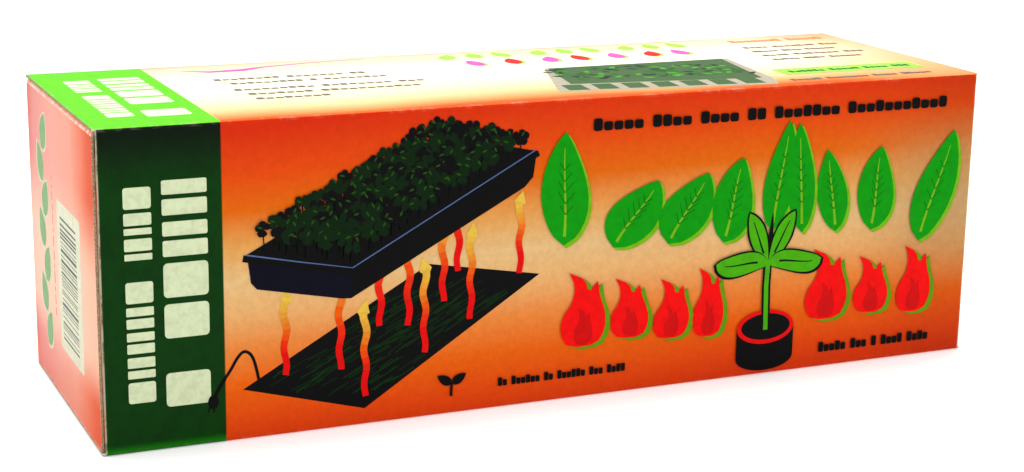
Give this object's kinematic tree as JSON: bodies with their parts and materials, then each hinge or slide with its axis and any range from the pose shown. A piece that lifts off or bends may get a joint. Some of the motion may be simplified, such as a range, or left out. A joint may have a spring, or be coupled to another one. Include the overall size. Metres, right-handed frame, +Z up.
{
  "type": "seedling heat mat",
  "caption": "Boxed seedling heat mat: a rolled soft heating mat with its cord and plug inside a long printed tuck-end carton with hinged closures and dust flaps.",
  "frame": {"origin": "centre of the carton's footprint, on the surface it stands on", "axes": "+X along the carton towards the end that the mat is drawn out of, front panel at -Y, +Z up"},
  "size_m": [0.275, 0.09, 0.089],
  "materials": {
    "printed_board": "printed solid board, semi-gloss varnish outside, grey-white inside",
    "plain_board": "unprinted board",
    "mat_sheet": "black soft PVC film, fine leather grain",
    "foil": "bright foil",
    "scrim": "spun fabric",
    "resistance_wire": "drawn resistance wire",
    "block_plastic": "moulded, fine spark texture",
    "crimp_metal": "tinned brass",
    "cord_sheath": "matt black sheath",
    "tie_plastic": "white coated twist tie",
    "plug_plastic": "moulded, matt with smooth face",
    "blade_metal": "nickel-plated brass",
    "tag_paper": "white paper",
    "band_rubber": "natural rubber",
    "leaflet_paper": "white offset paper"
  },
  "bodies": {
    "carton": {"front_panel": "printed_board", "back_panel": "printed_board", "top_panel": "printed_board", "bottom_panel": "printed_board", "glue_flap": "plain_board"},
    "left_closure_flap": {"left_closure": "printed_board", "left_tuck_tongue": "printed_board"},
    "left_front_dust": {"left_front_dust_flap": "printed_board"},
    "left_rear_dust": {"left_rear_dust_flap": "printed_board"},
    "right_closure_flap": {"right_closure": "printed_board", "right_tuck_tongue": "printed_board"},
    "right_front_dust": {"right_front_dust_flap": "printed_board"},
    "right_rear_dust": {"right_rear_dust_flap": "printed_board"},
    "mat": {"mat_top_sheet": "mat_sheet", "mat_bottom_sheet": "mat_sheet", "heat_spreader_foil": "foil", "wire_carrier_scrim": "scrim", "edge_weld": "mat_sheet", "heater_wire": "resistance_wire", "junction_block_base": "block_plastic", "junction_block_cover": "block_plastic", "crimp_sleeves": "crimp_metal", "strain_relief": "cord_sheath", "cord_lead": "cord_sheath", "cord_hank": "cord_sheath", "hank_tie": "tie_plastic", "plug_lead": "cord_sheath", "plug_body": "plug_plastic", "plug_blades": "blade_metal", "plug_earth_pin": "blade_metal", "cord_tag": "tag_paper", "roll_band_left": "band_rubber", "roll_band_right": "band_rubber", "leaflet": "leaflet_paper"}
  },
  "joints": [
    {"name": "left_closure_hinge", "type": "hinge", "parent": "carton", "child": "left_closure_flap", "pos_m": [-0.1375, 0, 0], "axis": [0, -1, 0], "range_deg": [0, 90]},
    {"name": "left_front_dust_hinge", "type": "hinge", "parent": "carton", "child": "left_front_dust", "pos_m": [-0.13665, -0.045, 0.04], "axis": [0, 0, 1], "range_deg": [0, 90]},
    {"name": "left_rear_dust_hinge", "type": "hinge", "parent": "carton", "child": "left_rear_dust", "pos_m": [-0.13665, 0.045, 0.04], "axis": [0, 0, -1], "range_deg": [0, 90]},
    {"name": "mat_draw_out", "type": "slide", "parent": "carton", "child": "mat", "axis": [1, 0, 0], "range_m": [0, 0.274]},
    {"name": "right_closure_hinge", "type": "hinge", "parent": "carton", "child": "right_closure_flap", "pos_m": [0.1375, 0, 0.089], "axis": [0, -1, 0], "range_deg": [0, 250]},
    {"name": "right_front_dust_hinge", "type": "hinge", "parent": "carton", "child": "right_front_dust", "pos_m": [0.13665, -0.045, 0.04], "axis": [0, 0, -1], "range_deg": [0, 250]},
    {"name": "right_rear_dust_hinge", "type": "hinge", "parent": "carton", "child": "right_rear_dust", "pos_m": [0.13665, 0.045, 0.04], "axis": [0, 0, 1], "range_deg": [0, 250]}
  ],
  "couplings": [
    {"joint": "left_front_dust_hinge", "follows": "left_closure_hinge", "ratio": 1},
    {"joint": "left_rear_dust_hinge", "follows": "left_closure_hinge", "ratio": 1},
    {"joint": "right_closure_hinge", "follows": "mat_draw_out", "rad_per_m": 15.919},
    {"joint": "right_front_dust_hinge", "follows": "mat_draw_out", "rad_per_m": 15.919},
    {"joint": "right_rear_dust_hinge", "follows": "mat_draw_out", "rad_per_m": 15.919}
  ]
}
